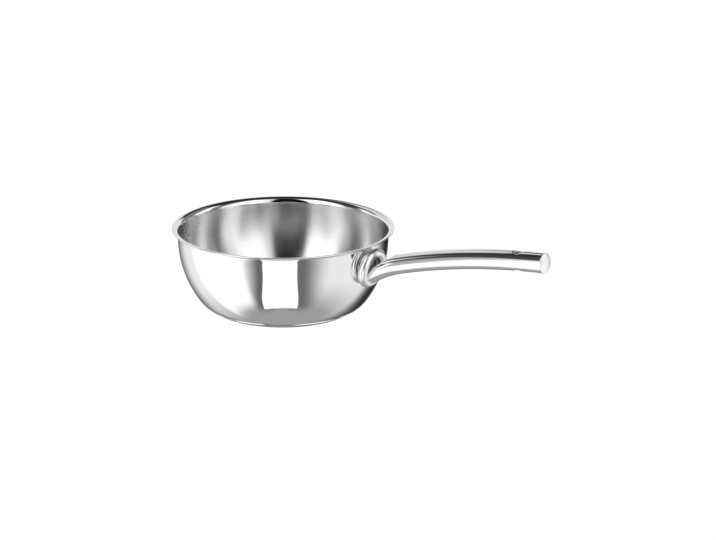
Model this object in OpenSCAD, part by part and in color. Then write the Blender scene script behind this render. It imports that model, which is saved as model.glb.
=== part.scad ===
// Saucier pan: a round-bottomed pan with a pouring lip, a capped base and one tubular handle.
// Millimetres, +Z up, the handle points along +X, the origin is the centre of the underside.

/* [Bowl] */
// Inner diameter at the neck, where a lid seats
neck_d = 200; // [180:1:240]
// Thickness of the drawn sheet
wall_t = 1.2; // [0.9:0.1:1.6]
// Height from the underside to the top of the lip
pan_h = 82.2; // [78:0.2:92]
// Height of the straight neck below the lip
neck_h = 4.8; // [3:0.2:8]
// Outer radius of the corner between wall and base
corner_r = 33; // [28:1:40]
// Turn of that corner between the wall and the tighter corner of the floor, in degrees
corner_turn = 9; // [4:1:12]

/* [Pouring lip] */
// Radius of the lip's bend, along the middle of the sheet
lip_bend_r = 4.6; // [3.6:0.2:5.4]
// Turn of the lip away from upright, in degrees
lip_turn = 84; // [70:1:88]
// Reach of the lip beyond the neck's outer face
lip_reach = 5.6; // [5.6:0.2:9]

/* [Base] */
// Thickness of the steel cap
cap_t = 0.6; // [0.4:0.1:0.8]
// Thickness of the aluminium core
core_t = 5.2; // [4:0.2:6.4]
// Distance the core's edge stays inside the cap's rim
core_inset = 2.5; // [2:0.1:5]

/* [Handle] */
// Outer diameter of the tube
tube_d = 18.2; // [16:0.2:20]
// Wall of the tube
tube_t = 1.2; // [0.8:0.1:2]
// Distance from the lip's top down to where the tube's axis meets the wall
root_drop = 31.9; // [29:0.1:34]
// Rise of the tube at the wall, in degrees above level
root_rise = 36; // [32:0.5:40]
// Bend radius of the root
root_bend_r = 130; // [110:5:180]
// Length of the root's bend, from the wall
root_len = 43; // [42:1:52]
// Bend radius of the grip
grip_bend_r = 730; // [500:10:1200]
// Length of the grip's long bend
grip_len = 157.5; // [120:0.5:190]
// Distance along the axis from the wall to the tip of the pressed valley
valley_len = 39; // [34:1:40]
// Height of the valley's ridges over the tube's axis at the wall
ridge_h = 4; // [2:0.5:6]

/* [Ring] */
// Distance from the lip's top down to the ring's centre
ring_drop = 22.6; // [22.2:0.2:25]
// Lean of the ring's face from upright, top outwards, in degrees
ring_lean = 12; // [8:1:14]
// Distance of the ring's centre from the wall
ring_stand = 4.8; // [4.4:0.2:6]
// Radius of the ring along the middle of its section
ring_mid_r = 14.8; // [14:0.2:15.4]
// Radius of the ring's round section
ring_section_r = 4.6; // [4:0.1:5]
// Sheet of the hollow ring
ring_t = 1.2; // [0.8:0.1:1.6]
// Thickness of the collar that carries the ring
collar_t = 2.4; // [1.6:0.2:3.2]
// Step from the ring's inner edge back to the collar's inner side
collar_step = 0.4; // [0.2:0.1:1]
// Thickness of the saddle that is spot-welded to the wall
saddle_t = 1.5; // [1:0.1:2]

/* [Handle end] */
// Thickness of the end cap's edge
end_edge_t = 0.8; // [0.6:0.1:1.6]
// Height of the end cap's dome over its edge
end_dome_h = 0.9; // [0.4:0.1:2]
// Length of the end cap's spigot inside the tube
spigot_len = 6; // [4:0.5:10]
// Wall of the end cap's hollow spigot
spigot_t = 1.2; // [0.8:0.1:2]
// Distance from the tube's open end to the hanging hole
hang_inset = 26; // [20:1:45]
// Bore of the hanging hole
hang_d = 8; // [6:0.5:10]
// Wall of the sleeve that lines the hanging hole
sleeve_t = 0.8; // [0.5:0.1:1.2]

/* [Fits] */
// Gap between the tube and the ring that is welded around it
weld_gap = 0.05; // [0.02:0.01:0.2]
// Gap between the saddle's edge and the ring
saddle_gap = 0.2; // [0.1:0.05:0.5]
// Radial gap between the spigot and the tube
spigot_gap = 0.05; // [0.03:0.01:0.1]
// Radial gap between the sleeve and its holes
sleeve_gap = 0.05; // [0.02:0.01:0.1]

/* [Hidden] */
$fn = 96;
round_fn = 180;
tube_fn = 64;
arc_step = 3;

neck_r = neck_d / 2 + wall_t;
base_t = cap_t + core_t;
tube_r = tube_d / 2;

// The lip bends outwards about lip_c and runs on straight to the centre of its round edge, lip_end
lip_run = (lip_reach - lip_bend_r * (1 - cos(lip_turn))) / sin(lip_turn);
lip_h = lip_bend_r * sin(lip_turn) + lip_run * cos(lip_turn) + wall_t / 2;
lip_z = pan_h - lip_h;
lip_c = [neck_r - wall_t / 2 + lip_bend_r, lip_z];
lip_end = [neck_r - wall_t / 2 + lip_reach, pan_h - wall_t / 2];

// The wall is part of a sphere about ball_z, as wide as the neck. The corner arc about corner_c touches
// that sphere and the underside, and the floor's arc about floor_c touches the corner arc and the core.
ball_z = lip_z - neck_h;
corner_c = [sqrt(pow(neck_r - corner_r, 2) - pow(ball_z - corner_r, 2)), corner_r];
corner_a = atan2(corner_r - ball_z, corner_c.x);
floor_a = corner_a - corner_turn;
floor_corner_r = corner_r - base_t / (1 + sin(floor_a));
floor_c = corner_c + (corner_r - floor_corner_r) * along(floor_a);

// The cap's rim ends where its inner face meets the bowl, found from the triangle of the two arc centres
cap_in_r = corner_r - cap_t;
centre_gap = corner_r - floor_corner_r;
rim_cos = (pow(cap_in_r, 2) + pow(centre_gap, 2) - pow(floor_corner_r, 2)) / (2 * cap_in_r * centre_gap);
rim_a = floor_a - acos(rim_cos);
core_r = corner_c.x + cap_in_r * cos(rim_a) - core_inset;

// The handle's axis in the XZ plane: the root's bend from the wall to join_p, then the grip's bend
root_z = pan_h - root_drop;
root_p = [sqrt(pow(neck_r, 2) - pow(ball_z - root_z, 2)), root_z];
join_rise = root_rise - turn_of(root_len, root_bend_r);
join_p = root_p + root_bend_r * (across(join_rise) - across(root_rise));
grip_turn = turn_of(grip_len, grip_bend_r);
tip_rise = join_rise - grip_turn;
tip_p = grip_point(tip_rise);

// The valley is the rod of the root turned over about a plane from the ridges to the crown at its tip
valley_rise = root_rise - turn_of(valley_len, root_bend_r);
valley_tip = root_p - root_bend_r * across(root_rise) + (root_bend_r + tube_r) * across(valley_rise);
ridge_p = root_p + ridge_h * across(root_rise);
press_rise = atan2(valley_tip.y - ridge_p.y, valley_tip.x - ridge_p.x);

ring_z = pan_h - ring_drop;
ring_c = [sqrt(pow(neck_r, 2) - pow(ball_z - ring_z, 2)) + ring_stand, ring_z];
collar_len = ring_stand + ring_mid_r;
saddle_r = ring_mid_r - ring_section_r - saddle_gap;

sleeve_r = hang_d / 2 + sleeve_t;
sleeve_len = 2 * sqrt(pow(tube_r, 2) - pow(sleeve_r, 2));
hang_rise = tip_rise + turn_of(hang_inset, grip_bend_r);
hang_p = grip_point(hang_rise);

// Unit vector that rises by a degrees, and the one square to it on its upper side
function along(a) = [cos(a), sin(a)];
function across(a) = [-sin(a), cos(a)];

// Degrees that an arc of a length turns through at a radius
function turn_of(length, radius) = length / radius * 180 / PI;

// Point of the grip's axis where it rises by a degrees
function grip_point(a) = join_p + grip_bend_r * (across(a) - across(join_rise));

// Points of an arc about c from angle a to angle b
function arc(c, r, a, b) = let (n = max(2, ceil(abs(b - a) / arc_step)))
    [for (i = [0:n]) c + r * along(a + (b - a) * i / n)];

function reversed(points) = [for (i = [len(points) - 1:-1:0]) points[i]];

// Half section of the bowl's face, k inside its outer face, from the axis out to the lip's edge
function bowl_face(k) = concat(
    [[0, base_t + k]],
    arc(floor_c, floor_corner_r - k, -90, floor_a),
    arc(corner_c, corner_r - k, floor_a, corner_a),
    arc([0, ball_z], neck_r - k, corner_a, 0),
    arc(lip_c, lip_bend_r - wall_t / 2 + k, 180, 180 - lip_turn));

// Half section of the cap's face, k inside its outer face, from the axis out to its rim
function cap_face(k) = concat([[0, k]], arc(corner_c, corner_r - k, -90, rim_a));

// Places children at a point of the XZ plane with their Z axis rising by a degrees towards +X
module at(p, a) {
    translate([p.x, 0, p.y]) rotate([0, 90 - a, 0]) children();
}

// Rod as thick as the tube and 2 g more, bent down from level and away from the origin along -X
module bent_rod(bend_r, turn, g) {
    translate([0, 0, -bend_r])
        rotate([90, 0, 0])
            rotate([0, 0, 90])
                rotate_extrude(angle = turn, $fn = round_fn)
                    translate([bend_r, 0]) circle(tube_r + g, $fn = tube_fn);
}

// The root's rod, which starts behind the wall so that its end can be trimmed
module root_rod(g) {
    translate([join_p.x, 0, join_p.y])
        rotate([0, -join_rise, 0])
            bent_rod(root_bend_r, turn_of(root_len + tube_d, root_bend_r), g);
}

// The grip's rod, a length beyond the tube's end
module grip_rod(g, beyond) {
    translate([join_p.x, 0, join_p.y])
        rotate([0, -join_rise, 0])
            mirror([1, 0, 0]) bent_rod(grip_bend_r, turn_of(grip_len + beyond, grip_bend_r), g);
}

// What the valley takes away: the root's rod turned over about a plane through the ridges
module valley(g) {
    translate([ridge_p.x, 0, ridge_p.y])
        mirror([-sin(press_rise), 0, cos(press_rise)])
            translate([-ridge_p.x, 0, -ridge_p.y]) root_rod(g);
}

// Everything behind the ring's middle plane, where the tube's root is trimmed
module behind_ring() {
    at(ring_c, -ring_lean)
        translate([0, 0, -2 * tube_d]) cylinder(h = 2 * tube_d, r = 3 * tube_d);
}

// The pan's outer shape as a solid grown by g, with its neck carried on upwards
module pan_block(g) {
    rotate_extrude($fn = round_fn) {
        intersection() {
            translate([0, ball_z]) circle(neck_r + g, $fn = round_fn);
            square([neck_r + g, ball_z]);
        }
        translate([0, ball_z]) square([neck_r + g, pan_h]);
    }
}

// Drawn steel shell with a round corner, a straight neck and the pouring lip
module bowl() {
    color("silver")
        rotate_extrude($fn = round_fn)
            polygon(concat(
                bowl_face(0),
                arc(lip_end, wall_t / 2, -lip_turn, 180 - lip_turn),
                reversed(bowl_face(wall_t))));
}

// Aluminium disc that spreads the heat, sealed between bowl and cap
module core_disc() {
    color("gainsboro")
        intersection() {
            rotate_extrude($fn = round_fn)
                polygon(concat(
                    cap_face(cap_t),
                    reversed(arc(floor_c, floor_corner_r, -90, rim_a)),
                    [[0, base_t]]));
            cylinder(h = pan_h, r = core_r, $fn = round_fn);
        }
}

// Magnetic steel cap over the core
module base_cap() {
    color("lightgray")
        rotate_extrude($fn = round_fn)
            polygon(concat(cap_face(0), reversed(cap_face(cap_t))));
}

// Plate that follows the wall inside the ring and takes the spot welds
module weld_saddle() {
    color("darkgray")
        difference() {
            intersection() {
                pan_block(saddle_t);
                at(ring_c, -ring_lean)
                    translate([0, 0, -collar_len]) cylinder(h = collar_len, r = saddle_r);
            }
            pan_block(0);
        }
}

// Hollow round ring on a collar that is shaped to the wall, notched for the tube
module handle_ring() {
    color("whitesmoke")
        difference() {
            at(ring_c, -ring_lean)
                rotate_extrude()
                    difference() {
                        union() {
                            translate([ring_mid_r, 0]) circle(ring_section_r);
                            translate([ring_mid_r - ring_section_r + collar_step, -collar_len])
                                square([collar_t, collar_len]);
                        }
                        translate([ring_mid_r, 0]) circle(ring_section_r - ring_t);
                    }
            pan_block(0);
            difference() {
                root_rod(weld_gap);
                behind_ring();
            }
        }
}

// Bent tube: its crown is pressed into a valley at the root, and a hole passes through near the end
module handle_tube() {
    color("silver")
        difference() {
            union() {
                root_rod(0);
                grip_rod(0, 0);
            }
            valley(0);
            difference() {
                union() {
                    root_rod(-tube_t);
                    grip_rod(-tube_t, tube_t);
                }
                valley(tube_t);
            }
            behind_ring();
            at(hang_p, hang_rise + 90)
                cylinder(h = 2 * tube_d, r = sleeve_r + sleeve_gap, center = true);
        }
}

// Short sleeve through the tube that lines the hanging hole
module hanging_sleeve() {
    color("darkgray")
        at(hang_p, hang_rise + 90)
            difference() {
                cylinder(h = sleeve_len, r = sleeve_r, center = true);
                cylinder(h = 2 * sleeve_len, d = hang_d, center = true);
            }
}

// Domed cap with a hollow spigot that closes the tube's end
module end_cap() {
    dome_r = (pow(tube_r, 2) + pow(end_dome_h, 2)) / (2 * end_dome_h);
    dome_a = asin(tube_r / dome_r);
    spigot_r = tube_r - tube_t - spigot_gap;
    color("white")
        at(tip_p, tip_rise)
            rotate_extrude()
                polygon(concat(
                    [[0, 0], [spigot_r - spigot_t, 0], [spigot_r - spigot_t, -spigot_len]],
                    [[spigot_r, -spigot_len], [spigot_r, 0], [tube_r, 0]],
                    arc([0, end_edge_t + end_dome_h - dome_r], dome_r, 90 - dome_a, 90)));
}

bowl();
core_disc();
base_cap();
weld_saddle();
handle_ring();
handle_tube();
hanging_sleeve();
end_cap();
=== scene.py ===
"""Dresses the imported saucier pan: turned steel pieces, their finishes, the studio and the camera.

Everything is in metres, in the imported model's own frame: +X along the handle, +Z up, the origin
at the centre of the underside.
"""
import logging
from dataclasses import dataclass, field, replace
from enum import Enum
from math import acos, asin, atan2, cos, degrees, pi, radians, sin, sqrt

import bmesh
import bpy
import numpy as np
from mathutils import Matrix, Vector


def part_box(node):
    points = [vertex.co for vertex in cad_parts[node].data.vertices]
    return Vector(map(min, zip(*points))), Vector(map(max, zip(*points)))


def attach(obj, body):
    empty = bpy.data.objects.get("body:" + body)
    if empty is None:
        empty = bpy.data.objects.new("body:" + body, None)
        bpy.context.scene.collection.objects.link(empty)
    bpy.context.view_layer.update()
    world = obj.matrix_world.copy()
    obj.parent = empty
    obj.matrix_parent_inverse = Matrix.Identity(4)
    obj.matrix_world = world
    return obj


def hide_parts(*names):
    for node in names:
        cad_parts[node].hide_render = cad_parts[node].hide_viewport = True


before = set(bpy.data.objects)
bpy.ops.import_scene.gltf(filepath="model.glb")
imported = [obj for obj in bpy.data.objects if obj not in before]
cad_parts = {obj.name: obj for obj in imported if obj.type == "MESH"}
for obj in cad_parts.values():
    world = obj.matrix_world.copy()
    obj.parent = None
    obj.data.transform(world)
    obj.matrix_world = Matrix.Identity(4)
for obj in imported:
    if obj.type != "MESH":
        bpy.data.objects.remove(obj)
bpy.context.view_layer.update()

LOG = logging.getLogger("saucier_pan")
MM = 0.001
ROOT = "root"

Point = tuple[float, float]


def along(rise: float) -> np.ndarray:
    """Returns the unit vector of the XZ plane that rises by an angle in radians."""
    return np.array([cos(rise), sin(rise)])


def across(rise: float) -> np.ndarray:
    """Returns the unit vector square to along(rise), on its upper side."""
    return np.array([-sin(rise), cos(rise)])


def arc(centre: Point, radius: float, start: float, stop: float, step: float = 1.5) -> np.ndarray:
    """Walks along an arc of a half section.

    Each point is the centre plus the radius times (cos, sin) of an angle that runs from start
    to stop in equal steps.

    Args:
        centre: Middle of the arc as (distance from the axis, height).
        radius: Radius of the arc.
        start: First angle, in degrees.
        stop: Last angle, in degrees.
        step: Largest turn between two points, in degrees.

    Returns:
        The points, one row each.
    """
    count = max(2, int(np.ceil(abs(stop - start) / step)))
    angle = np.radians(np.linspace(start, stop, count + 1))
    return np.asarray(centre) + radius * np.stack([np.cos(angle), np.sin(angle)], axis=1)


def run(start: Point, stop: Point, count: int) -> np.ndarray:
    """Walks straight from start up to, and without, stop in equal steps.

    Args:
        start: First point of the half section.
        stop: Point that the walk would reach next.
        count: Number of points.

    Returns:
        The points, one row each.
    """
    share = np.linspace(0, 1, count, endpoint=False)[:, None]
    return np.asarray(start) * (1 - share) + np.asarray(stop) * share


def quads(index: np.ndarray, wrap_rows: bool, wrap_cols: bool) -> np.ndarray:
    """Joins a grid of vertex numbers into four-sided faces.

    Face (i, j) has the corners (i, j), (i + 1, j), (i + 1, j + 1) and (i, j + 1).

    Args:
        index: Vertex numbers, as rows and columns.
        wrap_rows: Whether the last row is joined to the first.
        wrap_cols: Whether the last column is joined to the first.

    Returns:
        Four vertex numbers a face, one row each.
    """
    if wrap_rows:
        index = np.concatenate([index, index[:1]])
    if wrap_cols:
        index = np.concatenate([index, index[:, :1]], axis=1)
    corners = [index[:-1, :-1], index[1:, :-1], index[1:, 1:], index[:-1, 1:]]
    return np.stack(corners, axis=-1).reshape(-1, 4)


@dataclass(frozen=True)
class Seat:
    """A place in the XZ plane with its own axis: what is turned there has its Z along that axis."""

    point: Point
    rise: float

    def place(self, local: np.ndarray) -> np.ndarray:
        """Carries local points to the model's frame.

        The local X axis points down the slope, Y stays Y, and Z rises along the seat's axis.

        Args:
            local: Points, with their three coordinates in the last dimension.

        Returns:
            The same points in the model's frame.
        """
        x, y, z = np.moveaxis(local, -1, 0)
        s, c = sin(self.rise), cos(self.rise)
        return np.stack([self.point[0] + x * s + z * c, y, self.point[1] - x * c + z * s], axis=-1)


UPRIGHT = Seat((0.0, 0.0), pi / 2)


def full_turn(steps: int) -> np.ndarray:
    """Returns the angles of equal steps that go once round an axis."""
    return np.linspace(0, 2 * pi, steps, endpoint=False)


def about_axis(radius: np.ndarray, turn: np.ndarray, height: np.ndarray) -> np.ndarray:
    """Places points about the Z axis, each at (radius cos turn, radius sin turn, height).

    Args:
        radius: Distance from the axis.
        turn: Angle about the axis.
        height: Place along the axis.

    Returns:
        The points, with their three coordinates in the last dimension.
    """
    return np.stack(np.broadcast_arrays(radius * np.cos(turn), radius * np.sin(turn), height), axis=-1)


def turned(profile: np.ndarray, steps: int) -> np.ndarray:
    """Turns a half section about the Z axis.

    Point (i, j) lies at profile point i, at its distance from the axis, turned by j steps.

    Args:
        profile: Points as (distance from the axis, height), one row each.
        steps: Number of columns round the axis.

    Returns:
        The grid of points.
    """
    return about_axis(profile[:, :1], full_turn(steps), profile[:, 1:])


def beyond(points: np.ndarray, start: Point, way: np.ndarray) -> np.ndarray:
    """Returns how far points lie past a place in the XZ plane, measured along a unit vector."""
    return (points[..., 0] - start[0]) * way[0] + (points[..., 2] - start[1]) * way[1]


def border_of(rows: np.ndarray, cols: np.ndarray) -> np.ndarray:
    """Walks once round the border of a rectangle of a grid.

    Args:
        rows: Numbers of its rows.
        cols: Numbers of its columns.

    Returns:
        Row and column of each border point, one row each.
    """
    up, over = np.ones(len(rows) - 1, int), np.ones(len(cols) - 1, int)
    return np.concatenate([
        np.stack([rows[:-1], up * cols[0]], axis=1), np.stack([over * rows[-1], cols[:-1]], axis=1),
        np.stack([rows[:0:-1], up * cols[-1]], axis=1), np.stack([over * rows[0], cols[:0:-1]], axis=1)])


def put(name: str, data: bpy.types.ID) -> bpy.types.Object:
    """Makes an object from its data and links it to the scene."""
    item = bpy.data.objects.new(name, data)
    bpy.context.scene.collection.objects.link(item)
    return item


class Wiring:
    """Adds nodes to one node tree and joins them."""

    def __init__(self, tree: bpy.types.NodeTree) -> None:
        """Keeps the tree that the nodes go into."""
        self.tree = tree

    def feed(self, socket: bpy.types.NodeSocket, value: object) -> None:
        """Links a socket to an output, or sets its plain value.

        Args:
            socket: Input that takes the value.
            value: An output socket, or a number or tuple.
        """
        if isinstance(value, bpy.types.NodeSocket):
            self.tree.links.new(value, socket)
        else:
            socket.default_value = value

    def add(self, kind: str, inputs: dict | None = None, **settings: object) -> bpy.types.Node:
        """Adds a node.

        Args:
            kind: Blender's name of the node's type, without ShaderNode.
            inputs: Values or outputs for its inputs, by name or number.
            settings: Properties of the node.

        Returns:
            The node.
        """
        node = self.tree.nodes.new("ShaderNode" + kind)
        for name, value in settings.items():
            setattr(node, name, value)
        for name, value in (inputs or {}).items():
            self.feed(node.inputs[name], value)
        return node

    def math(self, operation: str, *values: object) -> bpy.types.NodeSocket:
        """Adds a Math node and returns its output.

        Args:
            operation: Name of the operation.
            values: Numbers or outputs, in the order of the inputs.

        Returns:
            The output.
        """
        return self.add("Math", dict(enumerate(values)), operation=operation).outputs[0]

    def ramp(self, value: object, low: object, high: object) -> bpy.types.NodeSocket:
        """Adds a smooth step that rises from 0 at low to 1 at high, and returns its output."""
        inputs = {"Value": value, "From Min": low, "From Max": high}
        return self.add("MapRange", inputs, interpolation_type="SMOOTHSTEP").outputs["Result"]

    def noise(self, place: object, scale: float, detail: float) -> bpy.types.NodeSocket:
        """Adds a noise of a place and returns its output."""
        return self.add("TexNoise", {"Vector": place, "Scale": scale, "Detail": detail}).outputs["Fac"]

    def mix(self, share: object, low: object, high: object) -> bpy.types.NodeSocket:
        """Adds a Mix node for numbers and returns its output."""
        return self.add("Mix", {"Factor": share, "A": low, "B": high}).outputs["Result"]

    def blend(self, share: object, low: object, high: object) -> bpy.types.NodeSocket:
        """Adds a Mix node for colours and returns its output."""
        node = self.add("Mix", {0: share, 6: low, 7: high}, data_type="RGBA")
        return node.outputs[2]


def fresh_wiring(owner: bpy.types.Material | bpy.types.World) -> Wiring:
    """Empties the node tree of a material or world and returns its wiring."""
    owner.use_nodes = True
    owner.node_tree.nodes.clear()
    return Wiring(owner.node_tree)


def shader_group(
    name: str, inputs: dict[str, str], outputs: dict[str, str],
) -> tuple[bpy.types.NodeTree, Wiring, dict, dict]:
    """Starts a shader node group with named inputs and outputs.

    Args:
        name: Name of the group.
        inputs: Socket kind, Float or Vector, by input name.
        outputs: Socket kind by output name.

    Returns:
        The group, its wiring, its inputs to draw from, and its outputs to feed.
    """
    group = bpy.data.node_groups.new(name, "ShaderNodeTree")
    for way, sockets in (("INPUT", inputs), ("OUTPUT", outputs)):
        for label, kind in sockets.items():
            group.interface.new_socket(label, in_out=way, socket_type="NodeSocket" + kind)
    source = group.nodes.new("NodeGroupInput")
    sink = group.nodes.new("NodeGroupOutput")
    return group, Wiring(group), source.outputs, sink.inputs


def marks_group(name: str) -> tuple[bpy.types.NodeTree, Wiring, dict, dict]:
    """Starts a node group for marks: Vector, Fineness and Stretch in, Mark out."""
    inputs = {"Vector": "Vector", "Fineness": "Float", "Stretch": "Float"}
    return shader_group(name, inputs, {"Mark": "Float"})


COARSE_SHARE = 0.31
SMUDGE_SCALE = 34.0
SMUDGE_RAMP = (0.5, 0.78)
# Turn and scale of each set of hairlines
HAIRLINES = (((0.3, 0.9, 0.4), (2600.0, 70.0, 60.0)), ((1.1, 0.2, 1.9), (80.0, 3000.0, 75.0)))
HAIRLINE_RAMP = (0.72, 0.8)
WAVE_SCALE = 17.0
MARK_SHADE = 0.7
WORN_SHADE = 0.3
QUARTER_TURN = 0.25


def turning_marks_group() -> bpy.types.NodeTree:
    """Makes the fine marks that a turning or brushing wheel leaves about the Z axis.

    The mark is a noise of four numbers: the distance from the axis and the height, both scaled
    up, and the place across the axis, scaled far less, so that the lines run round the axis and
    each fades out after a stretch. Two sizes of line are averaged.

    Returns:
        The group: Vector, Fineness and Stretch in, Mark out, from 0 to 1.
    """
    group, wires, given, out = marks_group("Turning marks")
    parts = wires.add("SeparateXYZ", {0: given["Vector"]}).outputs
    squares = (wires.math("MULTIPLY", parts[name], parts[name]) for name in "XY")
    distance = wires.math("SQRT", wires.math("ADD", *squares))
    lines = []
    for share in (1.0, COARSE_SHARE):
        fine = wires.math("MULTIPLY", given["Fineness"], share)
        place = wires.add("CombineXYZ", {
            "X": wires.math("MULTIPLY", parts["X"], given["Stretch"]),
            "Y": wires.math("MULTIPLY", parts["Y"], given["Stretch"]),
            "Z": wires.math("MULTIPLY", distance, fine)}).outputs[0]
        lines.append(wires.add("TexNoise", {
            "Vector": place, "W": wires.math("MULTIPLY", parts["Z"], fine), "Scale": 1.0, "Detail": 2.0},
            noise_dimensions="4D").outputs["Fac"])
    wires.feed(out["Mark"], wires.math("MULTIPLY", wires.math("ADD", *lines), 0.5))
    return group


def drawing_marks_group() -> bpy.types.NodeTree:
    """Makes the fine marks that a polishing belt leaves along the X axis.

    The mark is a noise whose X is scaled far less than its Y and Z, so its lines run along X.

    Returns:
        The group: Vector, Fineness and Stretch in, Mark out, from 0 to 1.
    """
    group, wires, given, out = marks_group("Belt marks")
    parts = wires.add("SeparateXYZ", {0: given["Vector"]}).outputs
    place = wires.add("CombineXYZ", {
        "X": wires.math("MULTIPLY", parts["X"], given["Stretch"]),
        "Y": wires.math("MULTIPLY", parts["Y"], given["Fineness"]),
        "Z": wires.math("MULTIPLY", parts["Z"], given["Fineness"])}).outputs[0]
    wires.feed(out["Mark"], wires.noise(place, 1.0, 3.0))
    return group


def handling_group() -> bpy.types.NodeTree:
    """Makes the traces that handling leaves on polished steel.

    Smudge is a soft cloudy noise with its lower half cut away. Scratch keeps only the crests of
    two stretched noises, as thin hairlines in two directions. Wave is a broad, low noise, for
    the slight unevenness of drawn sheet.

    Returns:
        The group: Vector in; Smudge, Scratch and Wave out, each from 0 to 1.
    """
    group, wires, given, out = shader_group(
        "Handling", {"Vector": "Vector"}, {"Smudge": "Float", "Scratch": "Float", "Wave": "Float"})
    cloud = wires.noise(given["Vector"], SMUDGE_SCALE, 4.0)
    wires.feed(out["Smudge"], wires.ramp(cloud, *SMUDGE_RAMP))
    hairs = []
    for turn, scale in HAIRLINES:
        inputs = {"Vector": given["Vector"], "Rotation": turn, "Scale": scale}
        hair = wires.noise(wires.add("Mapping", inputs).outputs[0], 1.0, 1.0)
        hairs.append(wires.ramp(hair, *HAIRLINE_RAMP))
    wires.feed(out["Scratch"], wires.math("MAXIMUM", *hairs))
    wires.feed(out["Wave"], wires.noise(given["Vector"], WAVE_SCALE, 1.0))
    return group


def seated_place(wires: Wiring, place: object, seat: Seat) -> bpy.types.NodeSocket:
    """Adds a Mapping node that gives object coordinates in a seat's own axes.

    Args:
        wires: Wiring of the material.
        place: Object coordinates.
        seat: The seat.

    Returns:
        The output.
    """
    inputs = {
        "Vector": place, "Location": (seat.point[0], 0.0, seat.point[1]),
        "Rotation": (0.0, pi / 2 - seat.rise, 0.0)}
    return wires.add("Mapping", inputs, vector_type="TEXTURE").outputs[0]


class Lay(Enum):
    """Which way the marks of a finish run."""

    AROUND = "Turning marks"
    ALONG = "Belt marks"


@dataclass(frozen=True)
class SteelFinish:
    """A finish of bare metal: its colour, its gloss, and the marks of the work on it.

    Heights are in metres, and marks is the number of lines a metre about the seat's axis.
    """

    name: str
    colour: tuple[float, float, float]
    roughness: float
    lay: Lay = Lay.AROUND
    marks: float = 3000.0
    stretch: float = 12.0
    mark_height: float = 0.0
    mark_gloss: float = 0.0
    wave_height: float = 0.0
    smudge_gloss: float = 0.0
    shade: float = 0.0
    anisotropy: float = 0.0
    seat: Seat = UPRIGHT

    def build(self, groups: dict[str, bpy.types.NodeTree]) -> bpy.types.Material:
        """Makes the finish's material.

        Roughness is the plain value, raised where the marks and smudges are. Colour is darkened a
        little by the same masks. The height of the marks and of the sheet's waves goes through
        Bump. With anisotropy, the tangent runs round the seat's axis, as Z crossed with the place.

        Args:
            groups: The shared node groups, by name.

        Returns:
            The material.
        """
        material = bpy.data.materials.new(self.name)
        wires = fresh_wiring(material)
        place = wires.add("TexCoord").outputs["Object"]
        seated = seated_place(wires, place, self.seat)
        inputs = {"Vector": seated, "Fineness": self.marks, "Stretch": self.stretch}
        mark = wires.add("Group", inputs, node_tree=groups[self.lay.value]).outputs["Mark"]
        traces = wires.add("Group", {"Vector": place}, node_tree=groups["Handling"]).outputs

        worn = wires.math("MAXIMUM", traces["Smudge"], traces["Scratch"])
        rough = wires.math("MULTIPLY_ADD", mark, self.mark_gloss, self.roughness - self.mark_gloss / 2)
        rough = wires.math("MULTIPLY_ADD", worn, self.smudge_gloss, rough)
        dull = tuple(value * (1 - self.shade) for value in self.colour)
        shading = wires.math("MULTIPLY_ADD", mark, MARK_SHADE, wires.math("MULTIPLY", worn, WORN_SHADE))
        colour = wires.blend(shading, (*self.colour, 1.0), (*dull, 1.0))
        wave = wires.math("MULTIPLY", traces["Wave"], self.wave_height / MM)
        height = wires.math("MULTIPLY_ADD", mark, self.mark_height / MM, wave)
        bump = wires.add("Bump", {"Height": height, "Strength": 1.0, "Distance": MM}).outputs[0]

        shader = wires.add("BsdfPrincipled", {
            "Base Color": colour, "Roughness": rough, "Metallic": 1.0, "Normal": bump,
            "Anisotropic": self.anisotropy})
        if self.anisotropy:
            crossed = {0: (0.0, 0.0, 1.0), 1: seated}
            around = wires.add("VectorMath", crossed, operation="CROSS_PRODUCT").outputs[0]
            tangent = wires.add("VectorMath", {0: around}, operation="NORMALIZE").outputs[0]
            wires.feed(shader.inputs["Tangent"], tangent)
            shader.inputs["Anisotropic Rotation"].default_value = QUARTER_TURN
        sink = wires.add("OutputMaterial", {"Surface": shader.outputs[0]})
        sink.is_active_output = True
        return material


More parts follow.
